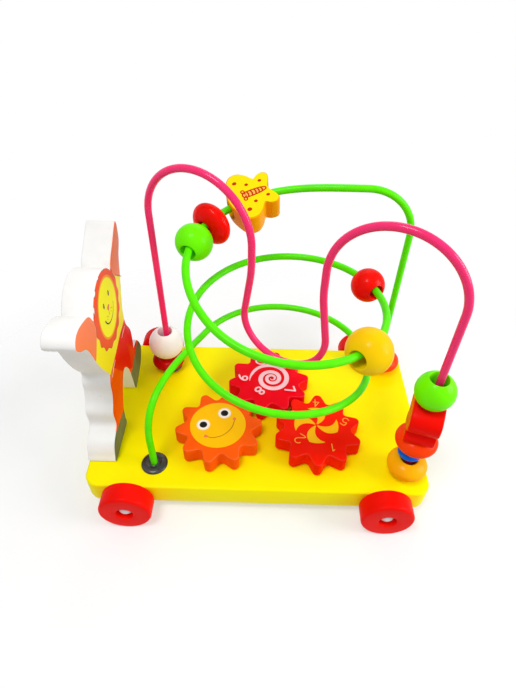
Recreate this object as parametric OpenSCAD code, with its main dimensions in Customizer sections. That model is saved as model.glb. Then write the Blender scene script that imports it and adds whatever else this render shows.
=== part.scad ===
// Bead maze cart: a painted board on four wheels, with two bent wires that carry beads,
// three meshing gears on top and a standing lion at one end.
// Millimetres, +Z up. The origin is on the floor under the middle of the board.
// +X runs along the board away from the lion, and the lion looks along +X.

/* [Board] */
// Length of the board
board_l = 200; // [180:1:260]
// Width of the board
board_w = 117; // [112:1:150]
// Thickness of the board
board_t = 15; // [12:0.5:20]
// Radius of the board's corners
board_corner_r = 9; // [4:0.5:14]
// Easing along the board's edges
board_edge_r = 1.2; // [0.4:0.1:3]

/* [Wheels] */
// Radius of a wheel
wheel_r = 15; // [12:0.5:20]
// Width of a wheel
wheel_w = 12; // [9:0.5:16]
// Rounding of a wheel's rim
wheel_edge_r = 1.8; // [0.5:0.1:3]
// Gap between the board's edge and a wheel
wheel_gap = 1.2; // [0.5:0.1:2]
// Distance between the front and rear axles along the board
axle_span = 148; // [130:1:160]
// Radius of the recess round a wheel pin's head
hub_recess_r = 5; // [4.5:0.1:6]
// Depth of that recess
hub_recess_depth = 3.4; // [2.6:0.1:5]
// Radius of a wheel pin's shank
wheel_pin_r = 2.5; // [1.5:0.1:3]
// Radius of a wheel pin's head
wheel_pin_head_r = 3.8; // [3.5:0.1:4.2]
// Height of a wheel pin's domed head
wheel_pin_head_h = 2.2; // [1.5:0.1:2.5]
// Length of a wheel pin held in the board
wheel_pin_grip = 9; // [6:0.5:30]

/* [Gears] */
// Radius at the tips of the gear teeth
gear_tip_r = 26.4; // [24:0.1:26.8]
// Radius at the bottom of the gaps between teeth
gear_root_r = 20.2; // [18:0.1:20.6]
// Rounding of a tooth's tip
tooth_tip_round = 2.9; // [2:0.1:3.2]
// Rounding of the gap between two teeth
tooth_gap_round = 2.3; // [1.6:0.1:2.6]
// Thickness of a gear
gear_t = 10.5; // [8:0.5:14]
// Distance between the axes of two meshing gears
gear_mesh_dist = 49; // [48.6:0.1:51]
// Distance between the axes of the two front gears
gear_front_span = 60; // [56:0.5:70]
// Place of the gear group along the board, from its middle
gear_group_x = 6; // [-5:0.5:12]
// Distance of the front gears' axes from the board's centre line
gear_front_y = 22.2; // [18:0.2:25]
// Turn of the rear gear at rest
rear_gear_turn = 6.5; // [0:0.5:36]
// Radius of a gear's peg
gear_peg_r = 4; // [3:0.1:6]
// Length of a peg inside its gear
gear_peg_rise = 7; // [5:0.1:7.5]
// Length of a peg held in the board
gear_peg_grip = 10; // [6:0.5:11]
// Radius of the washer under a gear
gear_washer_r = 8; // [6.5:0.5:12]
// Thickness of that washer
gear_washer_t = 1.2; // [0.6:0.1:2]

/* [Wires] */
// Radius of both bent wires
wire_r = 2; // [1.5:0.1:2.2]
// Depth of a wire's foot in the board
wire_foot_depth = 9; // [5:0.5:10.5]
// Place of the pink wire's middle along the board
pink_mid_x = 12.4; // [10:0.1:13]
// Place of the pink wire's middle across the board
pink_mid_y = -1.6; // [-3:0.1:2]
// Half the distance between the pink wire's feet along the board
pink_foot_x = 75.6; // [72:0.1:76]
// Half the distance between the pink wire's feet across the board
pink_foot_y = 40.4; // [36:0.1:42]
// Radius of the pink wire's two tops
pink_top_r = 32.6; // [31:0.1:33.5]
// Height of the pink wire's tops above the board
pink_top_h = 151.5; // [145:0.5:170]
// Radius of the dip between the two tops
pink_dip_r = 25; // [23:0.1:26]
// Height of the bottom of the dip above the board
pink_dip_h = 48.5; // [46:0.5:52]
// Radius of the easy bend above the dip
pink_easy_r = 80; // [60:1:90]
// Place of the coil's axis along the board
coil_x = 11.5; // [9:0.5:13]
// Radius of the green wire's coil
coil_r = 52; // [50:0.5:53]
// Height of the green wire's top bar above the board
green_top_h = 134; // [128:0.5:140]
// Radius of the bend from the top bar to the rear leg
green_bend_r = 28; // [24:0.5:30]
// Place of the green wire's rear leg, from the coil's axis along the board
green_rear_x = 72; // [71:0.1:76]
// Place of the green wire's rear leg across the board
green_rear_y = 44; // [42:0.5:46]
// Place of the green wire's front leg, from the coil's axis along the board
green_front_x = 72.5; // [71.5:0.1:76]
// Place of the green wire's front leg across the board
green_front_y = 42.5; // [40:0.5:45]
// Straight length of the green wire's front leg
green_front_rise = 20; // [16:0.5:26]
// Radius of the black plug round a wire's foot
plug_r = 7.8; // [7:0.1:9]
// Height of the plug's rim above the board
plug_h = 1.6; // [1.2:0.1:2.2]
// Radius of the plug's sleeve in the board
plug_sleeve_r = 4; // [3.4:0.1:5]

/* [Beads] */
// Radius of the bore through the large beads
bead_bore_r = 4.8; // [4.4:0.1:5]
// Radius of the bore through the small beads
small_bore_r = 4.2; // [4:0.1:4.4]
// Radius of the bore through the yellow butterfly
butterfly_bore_r = 5.6; // [5.2:0.1:6]
// Radius of the red ball on the coil
coil_red_r = 9.6; // [9:0.1:10.5]
// Radius of the yellow ball on the coil
coil_yellow_r = 12; // [11.4:0.1:12.4]
// Turn of the coil at the red ball
coil_red_turn = 386; // [380:1:392]
// Turn of the coil at the yellow ball
coil_yellow_turn = 319; // [314:1:326]
// Radius of the green ball near the top
top_green_r = 10; // [9.4:0.1:10.4]
// Radius of the red flat bead near the top
top_red_r = 12; // [11:0.1:12.4]
// Half the height of the red flat bead near the top
top_red_half_h = 6.6; // [6:0.1:6.8]
// Turn of the coil at the green ball near the top
top_green_turn = 161.5; // [161:0.5:166]
// Turn of the coil at the red flat bead near the top
top_red_turn = 142; // [141:0.5:143]
// Turn of the coil at the butterfly
butterfly_turn = 111; // [110:0.5:112]
// Radius of the white ball on the rear left leg
white_ball_r = 11.4; // [10.5:0.1:12]
// Radius of the dark red bead under it
dark_red_r = 11; // [10:0.1:12]
// Half the height of the dark red bead
dark_red_half_h = 5.6; // [5.2:0.1:7]
// Radius of the orange bead on the rear right leg
orange_bead_r = 11.5; // [10.5:0.1:12]
// Half the height of the orange bead
orange_bead_half_h = 6.4; // [5.6:0.1:7]
// Radius of the amber bead on the front right leg
amber_bead_r = 11.5; // [10.5:0.1:12]
// Half the height of the amber bead
amber_bead_half_h = 6.8; // [5.6:0.1:7]
// Radius of the small blue bead
blue_bead_r = 7; // [6.5:0.1:8]
// Half the height of the small blue bead
blue_bead_half_h = 4.4; // [3.4:0.1:5]
// Radius of the scarlet flat bead
scarlet_bead_r = 11.8; // [10.5:0.1:12]
// Half the height of the scarlet flat bead
scarlet_bead_half_h = 6.6; // [6:0.1:7]
// Radius of the green ball at the top of the stack
stack_green_r = 10.3; // [9.6:0.1:11]

/* [Butterfly blocks] */
// Length of the yellow butterfly along its bore
butterfly_l = 27; // [24:0.5:28]
// Span of the yellow butterfly's wings
butterfly_w = 30.5; // [28:0.5:34]
// Thickness of the yellow butterfly
butterfly_t = 14.5; // [13:0.5:17]
// Length of the red butterfly along its bore
red_block_l = 27.5; // [25:0.5:29]
// Span of the red butterfly's wings
red_block_w = 25.5; // [24:0.5:30]
// Thickness of the red butterfly
red_block_t = 16; // [14:0.5:17]
// Lean of the yellow butterfly about its wire
butterfly_lean = 22; // [0:1:30]
// Turn of the red butterfly about its wire
red_block_turn = -18; // [-30:1:0]

/* [Lion] */
// Height of the lion
lion_h = 112; // [100:1:120]
// Width of the lion across its paws
lion_w = 90; // [84:0.5:96]
// Thickness of the lion
lion_t = 16.5; // [12:0.5:18]
// Radius of the lion's mane
mane_r = 22; // [19:0.5:23]
// Radius of the dowels that hold the lion
dowel_r = 3; // [2:0.1:3.5]
// Length of a dowel on each side of the joint
dowel_half = 9; // [6:0.5:11]

/* [Hidden] */
$fn = 64;
// Clearance of a turning piece on its pin, on the radius
running_gap = 0.06;
// Clearance of a glued piece in its hole, on the radius
glue_gap = 0.05;
// Gap between a bead and what it rests on
seat_gap = 0.3;
// Overrun of every cut past the face that it leaves
cut = 1;
// Number of teeth on each gear
gear_teeth = 10;
// Sides of the swept wires
wire_sides = 12;
// Stations of the tables below in one turn of the coil, and swept rings between two stations
stations_per_turn = 6;
rings_per_station = 12;
// Turn of the coil between two stations, and the turn of the first one
station_step = 360 / stations_per_turn;
station_first = station_step;
// Radius of the coil at each station, as a share of coil_r
coil_radius_shares = [1, 0.975, 0.955, 0.95, 1.025, 1.045, 1.035, 1.035,
    1, 1.01, 0.995, 0.975, 0.97, 0.99, 1];
// Height of the coil at each station above the board, as a share of green_top_h
coil_height_shares = [1, 0.919, 0.854, 0.748, 0.701, 0.66, 0.636, 0.604,
    0.557, 0.489, 0.43, 0.366, 0.346, 0.34, 0.345];
// Turns where the coil begins at the top bar and ends at the front leg
coil_top_turn = 110;
coil_low_turn = 875;
coil_ring_step = station_step / rings_per_station;
// Pull of the curves that lead into and out of the coil, as shares of coil_r
bar_out_share = 0.4;
bar_in_share = 0.38;
leg_up_share = 0.72;
leg_in_share = 0.77;
// Rise of the front leg's curve before the coil, as a share of green_top_h
leg_hump_share = 0.03;
// Lean of the pink wire above the dip, in degrees from upright
pink_lean = 9;

board_top = wheel_r + board_t / 2;
bead_floor = board_top + plug_h + seat_gap;
wheel_y = board_w / 2 + wheel_gap;

// Curves and sweeps

function unit(v) = v / norm(v);
function arc(c, r, a0, a1, n) = [for (i = [0:n]) let (a = a0 + (a1 - a0) * i / n) c + r * [cos(a), sin(a)]];
function bezier(a, b, c, d, n) = [for (i = [0:n])
    let (t = i / n, s = 1 - t)
    s * s * s * a + 3 * s * s * t * b + 3 * s * t * t * c + t * t * t * d];
function smooth(a, b, c, d, t) = b + t * (c - a + t * (2 * a - 5 * b + 4 * c - d
    + t * (3 * (b - c) + d - a))) / 2;
function clamp(i, n) = min(max(i, 0), n - 1);
// Value of a table of stations at a turn, on a smooth curve through them
function at_turn(shares, turn) = let (
    n = len(shares),
    u = (turn - station_first) / station_step,
    i = clamp(floor(u), n - 1))
    smooth(shares[clamp(i - 1, n)], shares[i], shares[clamp(i + 1, n)], shares[clamp(i + 2, n)], u - i);
// Closed smooth outline through a list of points, with n points in each stretch
function smooth_loop(p, n) = let (m = len(p)) [for (i = [0:m - 1], k = [0:n - 1])
    smooth(p[(i + m - 1) % m], p[i], p[(i + 1) % m], p[(i + 2) % m], k / n)];

// Round tube along a list of points; away is a direction that the tube never follows
module tube(path, r, sides, away) {
    last = len(path) - 1;
    rings = [for (i = [0:last]) let (
        t = unit(path[min(i + 1, last)] - path[max(i - 1, 0)]),
        u = unit(cross(t, away)),
        v = cross(t, u))
        for (k = [0:sides - 1]) path[i] + r * (cos(360 * k / sides) * u + sin(360 * k / sides) * v)];
    sides_a = [for (i = [0:last - 1], k = [0:sides - 1])
        [i * sides + k, i * sides + (k + 1) % sides, (i + 1) * sides + k]];
    sides_b = [for (i = [0:last - 1], k = [0:sides - 1])
        [i * sides + (k + 1) % sides, (i + 1) * sides + (k + 1) % sides, (i + 1) * sides + k]];
    low_cap = [[for (k = [sides - 1:-1:0]) k]];
    high_cap = [[for (k = [0:sides - 1]) last * sides + k]];
    polyhedron(rings, concat(sides_a, sides_b, low_cap, high_cap));
}

// The two wires

wire_foot_z = board_top - wire_foot_depth;
pink_turn = atan2(-pink_foot_y, pink_foot_x);
pink_half = norm([pink_foot_x, pink_foot_y]);
function pink_at(p) =
    [pink_mid_x + p[0] * cos(pink_turn), pink_mid_y + p[0] * sin(pink_turn), board_top + p[1]];

// Half of the pink wire in its own upright plane, from the bottom of the dip to the foot
pink_dip_c = [0, pink_dip_h + pink_dip_r];
pink_top_c = [pink_half - pink_top_r, pink_top_h - pink_top_r];
pink_inner = pink_half - 2 * pink_top_r;
pink_lean_start = pink_dip_c + pink_dip_r * [cos(pink_lean), sin(pink_lean)];
pink_easy_in = pink_inner + pink_easy_r * (1 - cos(pink_lean));
pink_easy_z = pink_lean_start[1] + (pink_lean_start[0] - pink_easy_in) / tan(pink_lean);
pink_easy_c = [pink_inner + pink_easy_r, pink_easy_z + pink_easy_r * sin(pink_lean)];
pink_half_path = concat(
    arc(pink_dip_c, pink_dip_r, -90, pink_lean, 16),
    arc(pink_easy_c, pink_easy_r, 180 + pink_lean, 180, 3),
    arc(pink_top_c, pink_top_r, 180, 0, 26),
    [[pink_half, 0], [pink_half, -wire_foot_depth]]);
pink_count = len(pink_half_path);
pink_path = concat(
    [for (i = [pink_count - 1:-1:1]) pink_at([-pink_half_path[i][0], pink_half_path[i][1]])],
    [for (p = pink_half_path) pink_at(p)]);

function coil_at(turn) = let (r = coil_r * at_turn(coil_radius_shares, turn))
    [coil_x + r * cos(turn), r * sin(turn), board_top + green_top_h * at_turn(coil_height_shares, turn)];
// Direction of the wire at a turn, the way that climbs
function coil_way(turn) = unit(coil_at(turn - 1) - coil_at(turn + 1));

green_front_foot = [coil_x - green_front_x, -green_front_y, wire_foot_z];
green_front_top = [coil_x - green_front_x, -green_front_y, board_top + green_front_rise];
green_rear_foot = [coil_x + green_rear_x, green_rear_y, wire_foot_z];
green_bar_end = [coil_x + green_rear_x - green_bend_r, green_rear_y, board_top + green_top_h];
green_leg = bezier(
    green_front_top,
    green_front_top + [0, 0, coil_r * leg_up_share],
    coil_at(coil_low_turn) - coil_r * leg_in_share * coil_way(coil_low_turn)
        + [0, 0, green_top_h * leg_hump_share],
    coil_at(coil_low_turn), 18);
green_bar = bezier(
    coil_at(coil_top_turn),
    coil_at(coil_top_turn) + coil_r * bar_out_share * coil_way(coil_top_turn),
    green_bar_end - [coil_r * bar_in_share, 0, 0],
    green_bar_end, 12);
green_bend = [for (p = arc([0, 0], green_bend_r, 90, 0, 9))
    green_bar_end + [p[0], 0, p[1] - green_bend_r]];
green_turns = [for (a = [coil_low_turn - coil_ring_step:-coil_ring_step:coil_top_turn + coil_ring_step]) a];
green_path = concat(
    [green_front_foot], green_leg,
    [for (a = green_turns) coil_at(a)],
    green_bar, [for (i = [1:len(green_bend) - 1]) green_bend[i]], [green_rear_foot]);

module pink_wire() {
    color("deeppink") tube(pink_path, wire_r, wire_sides, [sin(pink_turn), -cos(pink_turn), 0]);
}
module green_wire() {
    color("limegreen") tube(green_path, wire_r, wire_sides, [1, -1, 1]);
}

// Where the four feet stand on the board
rear_left_foot = [pink_mid_x - pink_foot_x, pink_mid_y + pink_foot_y];
front_right_foot = [pink_mid_x + pink_foot_x, pink_mid_y - pink_foot_y];
front_left_foot = [green_front_foot[0], green_front_foot[1]];
rear_right_foot = [green_rear_foot[0], green_rear_foot[1]];

// Black plug round a wire's foot: a low domed rim on a sleeve that fills the hole
plug_hole_r = plug_sleeve_r + glue_gap;
plug_depth = wire_foot_depth;
plug_rim_share = 0.55;
module plug(foot) {
    color("black") translate([foot[0], foot[1], board_top]) difference() {
        union() {
            rotate_extrude() polygon(concat([[0, 0], [plug_r, 0]],
                [for (i = [0:6]) let (a = 90 * i / 6)
                    [plug_r * (plug_rim_share + (1 - plug_rim_share) * cos(a)), plug_h * sin(a)]],
                [[0, plug_h]]));
            translate([0, 0, -plug_depth]) cylinder(r = plug_sleeve_r, h = plug_depth);
        }
        translate([0, 0, -plug_depth - cut])
            cylinder(r = wire_r + glue_gap, h = plug_depth + plug_h + 2 * cut);
    }
}
module front_left_plug() { plug(front_left_foot); }
module front_right_plug() { plug(front_right_foot); }
module rear_left_plug() { plug(rear_left_foot); }
module rear_right_plug() { plug(rear_right_foot); }

// Gears

sun_axis = [gear_group_x - gear_front_span / 2, -gear_front_y];
pinwheel_axis = [gear_group_x + gear_front_span / 2, -gear_front_y];
gear_rear_rise = sqrt(gear_mesh_dist * gear_mesh_dist - gear_front_span * gear_front_span / 4);
spiral_axis = [gear_group_x, -gear_front_y + gear_rear_rise];
tooth_pitch = 360 / gear_teeth;
// Turn that sets a gap of this gear against a tooth of the rear gear
function mesh_turn(axis) = let (line = atan2(spiral_axis[1] - axis[1], spiral_axis[0] - axis[0]))
    line + tooth_pitch / 2 - (rear_gear_turn - line - 180);

// Outline of one tooth and one gap: tip arc, straight flank and gap arc that meet smoothly
tip_c_r = gear_tip_r - tooth_tip_round;
gap_c_r = gear_root_r + tooth_gap_round;
tip_c = [tip_c_r, 0];
gap_c = gap_c_r * [cos(tooth_pitch / 2), sin(tooth_pitch / 2)];
flank_line = atan2(gap_c[1] - tip_c[1], gap_c[0] - tip_c[0]);
flank_turn = acos((tooth_tip_round + tooth_gap_round) / norm(gap_c - tip_c));
tip_end = flank_line - flank_turn;
tooth_half = concat(
    arc(tip_c, tooth_tip_round, 0, tip_end, 4),
    arc(gap_c, tooth_gap_round, tip_end + 180, 180 + tooth_pitch / 2, 3));
tooth_count = len(tooth_half);
tooth = concat(
    [for (i = [tooth_count - 1:-1:1]) [tooth_half[i][0], -tooth_half[i][1]]],
    [for (i = [0:tooth_count - 2]) tooth_half[i]]);
function spin(p, a) = [p[0] * cos(a) - p[1] * sin(a), p[0] * sin(a) + p[1] * cos(a)];
gear_outline = [for (i = [0:gear_teeth - 1], p = tooth) spin(p, i * tooth_pitch)];

gear_z = board_top + gear_washer_t;
module gear(axis, turn, tint) {
    color(tint) translate([axis[0], axis[1], gear_z]) difference() {
        rotate([0, 0, turn]) linear_extrude(gear_t) polygon(gear_outline);
        translate([0, 0, -cut]) cylinder(r = gear_peg_r + running_gap, h = gear_peg_rise + seat_gap + cut);
    }
}
module gear_peg(axis) {
    color("burlywood") translate([axis[0], axis[1], board_top - gear_peg_grip])
        cylinder(r = gear_peg_r, h = gear_peg_grip + gear_washer_t + gear_peg_rise);
}
module gear_washer(axis) {
    color("ivory") translate([axis[0], axis[1], board_top]) difference() {
        cylinder(r = gear_washer_r, h = gear_washer_t);
        translate([0, 0, -cut]) cylinder(r = gear_peg_r + glue_gap, h = gear_washer_t + 2 * cut);
    }
}
module sun_gear() { gear(sun_axis, mesh_turn(sun_axis), "orange"); }
module pinwheel_gear() { gear(pinwheel_axis, mesh_turn(pinwheel_axis), "red"); }
module spiral_gear() { gear(spiral_axis, rear_gear_turn, "crimson"); }
module sun_gear_peg() { gear_peg(sun_axis); }
module pinwheel_gear_peg() { gear_peg(pinwheel_axis); }
module spiral_gear_peg() { gear_peg(spiral_axis); }
module sun_gear_washer() { gear_washer(sun_axis); }
module pinwheel_gear_washer() { gear_washer(pinwheel_axis); }
module spiral_gear_washer() { gear_washer(spiral_axis); }

// Wheels and their pins; side is -1 at the front and 1 at the rear, end is -1 at the lion

wheel_bore_r = wheel_pin_r + running_gap;
hub_floor = wheel_w - hub_recess_depth;
wheel_profile = concat(
    [[wheel_bore_r, 0]],
    arc([wheel_r - wheel_edge_r, wheel_edge_r], wheel_edge_r, -90, 0, 6),
    arc([wheel_r - wheel_edge_r, wheel_w - wheel_edge_r], wheel_edge_r, 0, 90, 6),
    [[hub_recess_r, wheel_w], [hub_recess_r, hub_floor], [wheel_bore_r, hub_floor]]);
module at_wheel(end, side) {
    translate([end * axle_span / 2, side * wheel_y, wheel_r]) rotate([-side * 90, 0, 0]) children();
}
module wheel(end, side) {
    color("red") at_wheel(end, side) rotate_extrude() polygon(wheel_profile);
}
module wheel_pin(end, side) {
    tip_z = -wheel_gap - wheel_pin_grip;
    head_z = hub_floor + running_gap;
    color("gainsboro") at_wheel(end, side) rotate_extrude() polygon(concat(
        [[0, tip_z], [wheel_pin_r, tip_z], [wheel_pin_r, head_z]],
        [for (i = [0:6]) let (a = 90 * i / 6)
            [wheel_pin_head_r * cos(a), head_z + wheel_pin_head_h * sin(a)]]));
}
module front_left_wheel() { wheel(-1, -1); }
module front_right_wheel() { wheel(1, -1); }
module rear_left_wheel() { wheel(-1, 1); }
module rear_right_wheel() { wheel(1, 1); }
module front_left_wheel_pin() { wheel_pin(-1, -1); }
module front_right_wheel_pin() { wheel_pin(1, -1); }
module rear_left_wheel_pin() { wheel_pin(-1, 1); }
module rear_right_wheel_pin() { wheel_pin(1, 1); }

// Board, with a hole for every foot, peg, dowel and pin

dowel_front_share = -0.31;
dowel_rear_share = 0.225;
lion_x = -board_l / 2;
dowel_x = lion_x + lion_t / 2;
dowel_ys = [lion_w * dowel_front_share, lion_w * dowel_rear_share];
corner_x = board_l / 2 - board_corner_r;
corner_y = board_w / 2 - board_corner_r;
module board_corner() {
    rotate_extrude($fn = 32) polygon(concat([[0, 0]],
        arc([board_corner_r - board_edge_r, board_edge_r], board_edge_r, -90, 0, 3),
        arc([board_corner_r - board_edge_r, board_t - board_edge_r], board_edge_r, 0, 90, 3),
        [[0, board_t]]));
}
module hole(x, y, r, depth) {
    translate([x, y, board_top - depth]) cylinder(r = r, h = depth + cut);
}
module board() {
    color("yellow") difference() {
        hull() for (x = [-1, 1], y = [-1, 1])
            translate([x * corner_x, y * corner_y, board_top - board_t]) board_corner();
        for (f = [rear_left_foot, front_right_foot, front_left_foot, rear_right_foot])
            hole(f[0], f[1], plug_hole_r, plug_depth);
        for (a = [sun_axis, pinwheel_axis, spiral_axis])
            hole(a[0], a[1], gear_peg_r + glue_gap, gear_peg_grip);
        for (y = dowel_ys)
            hole(dowel_x, y, dowel_r + glue_gap, dowel_half);
        for (end = [-1, 1], side = [-1, 1])
            at_wheel(end, side) translate([0, 0, -wheel_gap - wheel_pin_grip])
                cylinder(r = wheel_pin_r + glue_gap, h = wheel_pin_grip + cut);
    }
}

// Lion: one thick outline that stands on the board and looks along +X

// Points of the body's outline, as shares of lion_w across and lion_h up
lion_shares = [[-0.45, 0], [-0.46, 0.045], [-0.422, 0.103], [-0.35, 0.134], [-0.311, 0.165],
    [-0.314, 0.246], [-0.272, 0.295], [-0.244, 0.348], [-0.237, 0.402], [-0.209, 0.451],
    [-0.25, 0.509], [-0.3, 0.58], [-0.339, 0.647], [-0.372, 0.723], [-0.409, 0.781], [-0.478, 0.821],
    [-0.52, 0.866], [-0.489, 0.904], [-0.428, 0.913], [-0.333, 0.896], [-0.267, 0.871],
    [-0.217, 0.813], [-0.111, 0.786], [0.15, 0.82], [0.233, 0.888], [0.331, 0.938],
    [0.468, 1], [0.468, 0.9], [0.4, 0.83], [0.345, 0.73],
    [0.3, 0.65], [0.255, 0.555], [0.26, 0.465], [0.322, 0.375], [0.322, 0.28], [0.315, 0.235],
    [0.41, 0.225], [0.478, 0.125], [0.41, 0.05], [0.29, 0.012], [0.18, 0], [0.155, 0.107],
    [0.13, 0.205], [0.065, 0.275], [0, 0.275], [-0.08, 0.2], [-0.133, 0.125], [-0.145, 0.055],
    [-0.165, 0]];
mane_share = 0.738;
lion_points = [for (s = lion_shares) [s[0] * lion_w, s[1] * lion_h]];
module lion_body() {
    linear_extrude(lion_t) intersection() {
        polygon(smooth_loop(lion_points, 3));
        translate([-lion_w, 0]) square([2 * lion_w, 2 * lion_h]);
    }
}
module lion_mane() {
    translate([0, lion_h * mane_share, 0]) cylinder(r = mane_r, h = lion_t);
}
module lion_figure() {
    color("white") difference() {
        translate([lion_x, 0, board_top]) rotate([90, 0, 90]) union() {
            lion_body();
            lion_mane();
        }
        for (y = dowel_ys)
            translate([dowel_x, y, board_top - cut]) cylinder(r = dowel_r + glue_gap, h = dowel_half + cut);
    }
}
module lion_dowels() {
    color("burlywood") for (y = dowel_ys)
        translate([dowel_x, y, board_top - dowel_half]) cylinder(r = dowel_r, h = 2 * dowel_half);
}

// Beads

module ball(r, bore) {
    difference() {
        sphere(r = r);
        translate([0, 0, -r - cut]) cylinder(r = bore, h = 2 * (r + cut));
    }
}
// Flat bead with an oval section
module flat_bead(r, half_h, bore) {
    stop = acos(bore / r);
    rotate_extrude() polygon([for (i = [0:16]) let (a = stop * (i / 8 - 1)) [r * cos(a), half_h * sin(a)]]);
}
// Height of a ball's hole rim above its middle
function rim(r, bore) = sqrt(r * r - bore * bore);
function flat_rim(r, half_h, bore) = half_h * rim(r, bore) / r;

// Puts a bead's axis along the coil at a turn, hanging on the wire by a share of its bore's room
hang_share = 0.68;
butterfly_hang_share = 0.42;
module on_coil(turn, bore) {
    way = coil_way(turn);
    translate(coil_at(turn) - [0, 0, hang_share * (bore - wire_r)])
        rotate([0, acos(way[2]), atan2(way[1], way[0])]) children();
}
module coil_red_ball() {
    color("red") on_coil(coil_red_turn, small_bore_r) ball(coil_red_r, small_bore_r);
}
module coil_yellow_ball() {
    color("gold") on_coil(coil_yellow_turn, bead_bore_r) ball(coil_yellow_r, bead_bore_r);
}
module top_green_ball() {
    color("lawngreen") on_coil(top_green_turn, small_bore_r) ball(top_green_r, small_bore_r);
}
module top_red_bead() {
    color("red") on_coil(top_red_turn, bead_bore_r) flat_bead(top_red_r, top_red_half_h, bead_bore_r);
}

// Butterfly outline: head end at -X, as shares of its length along and its span across, for one wing
wing_shares = [[-0.5, 0.1], [-0.43, 0.3], [-0.35, 0.43], [-0.24, 0.5], [-0.08, 0.495], [0.06, 0.4],
    [0.13, 0.315], [0.18, 0.285], [0.28, 0.34], [0.4, 0.35], [0.475, 0.29], [0.465, 0.2],
    [0.42, 0.12], [0.375, 0.04]];
// How far below a block's middle its tail lobes meet the rim of the bead under it, as a share of its length
wing_seat_share = 0.465;
wing_count = len(wing_shares);
function wings(l, w) = concat(
    [for (s = wing_shares) [s[0] * l, s[1] * w]],
    [for (i = [wing_count - 1:-1:0]) [wing_shares[i][0] * l, -wing_shares[i][1] * w]]);
module block(l, w, t, bore) {
    difference() {
        translate([0, 0, -t / 2]) linear_extrude(t) polygon(smooth_loop(wings(l, w), 3));
        rotate([0, 90, 0]) translate([0, 0, -l]) cylinder(r = bore, h = 2 * l);
    }
}
module butterfly_block() {
    way = coil_way(butterfly_turn);
    drop = butterfly_hang_share * (butterfly_bore_r - wire_r);
    color("gold") translate(coil_at(butterfly_turn) - [0, 0, drop])
        rotate([0, acos(way[2]) - 90, atan2(way[1], way[0])]) rotate([butterfly_lean, 0, 0])
            block(butterfly_l, butterfly_w, butterfly_t, butterfly_bore_r);
}

// Stacks on the straight legs, each bead on the one beneath; a bead may sit aside within its bore's slack
module on_leg(foot, z, aside) {
    translate([foot[0] + aside[0], foot[1] + aside[1], z]) children();
}
rear_bead_aside_shares = [-0.35, -0.3];
orange_aside_shares = [0.7, -0.7];
amber_aside_shares = [-0.55, -0.45];
blue_aside_shares = [-0.7, 0.5];
scarlet_aside_shares = [0.06, 0.6];
red_block_aside_shares = [0, 0.5];
green_aside_shares = [-0.2, 0.1];
function aside(shares, bore) = (bore - wire_r - seat_gap) * shares;

dark_red_z = bead_floor + flat_rim(dark_red_r, dark_red_half_h, bead_bore_r);
dark_red_top = dark_red_z + flat_rim(dark_red_r, dark_red_half_h, bead_bore_r);
white_z = dark_red_top + seat_gap + rim(white_ball_r, bead_bore_r);
orange_z = bead_floor + flat_rim(orange_bead_r, orange_bead_half_h, bead_bore_r);
amber_z = bead_floor + flat_rim(amber_bead_r, amber_bead_half_h, bead_bore_r);
amber_top = amber_z + flat_rim(amber_bead_r, amber_bead_half_h, bead_bore_r);
blue_z = amber_top + seat_gap + flat_rim(blue_bead_r, blue_bead_half_h, small_bore_r);
blue_top = blue_z + flat_rim(blue_bead_r, blue_bead_half_h, small_bore_r);
scarlet_z = blue_top + seat_gap + flat_rim(scarlet_bead_r, scarlet_bead_half_h, bead_bore_r);
scarlet_top = scarlet_z + flat_rim(scarlet_bead_r, scarlet_bead_half_h, bead_bore_r);
red_block_z = scarlet_top + seat_gap + red_block_l * wing_seat_share;
stack_green_z = red_block_z + red_block_l / 2 + seat_gap + rim(stack_green_r, bead_bore_r);

module rear_dark_red_bead() {
    color("firebrick") on_leg(rear_left_foot, dark_red_z, aside(rear_bead_aside_shares, bead_bore_r))
        flat_bead(dark_red_r, dark_red_half_h, bead_bore_r);
}
module rear_white_ball() {
    color("white") on_leg(rear_left_foot, white_z, aside(rear_bead_aside_shares, bead_bore_r))
        ball(white_ball_r, bead_bore_r);
}
module rear_orange_bead() {
    color("orangered") on_leg(rear_right_foot, orange_z, aside(orange_aside_shares, bead_bore_r))
        flat_bead(orange_bead_r, orange_bead_half_h, bead_bore_r);
}
module stack_amber_bead() {
    color("orange") on_leg(front_right_foot, amber_z, aside(amber_aside_shares, bead_bore_r))
        flat_bead(amber_bead_r, amber_bead_half_h, bead_bore_r);
}
module stack_blue_bead() {
    color("royalblue") on_leg(front_right_foot, blue_z, aside(blue_aside_shares, small_bore_r))
        flat_bead(blue_bead_r, blue_bead_half_h, small_bore_r);
}
module stack_scarlet_bead() {
    color("orangered") on_leg(front_right_foot, scarlet_z, aside(scarlet_aside_shares, bead_bore_r))
        flat_bead(scarlet_bead_r, scarlet_bead_half_h, bead_bore_r);
}
module stack_red_block() {
    color("red") on_leg(front_right_foot, red_block_z, aside(red_block_aside_shares, bead_bore_r))
        rotate([0, 90, red_block_turn]) block(red_block_l, red_block_w, red_block_t, bead_bore_r);
}
module stack_green_ball() {
    color("lawngreen") on_leg(front_right_foot, stack_green_z, aside(green_aside_shares, bead_bore_r))
        ball(stack_green_r, bead_bore_r);
}

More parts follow.
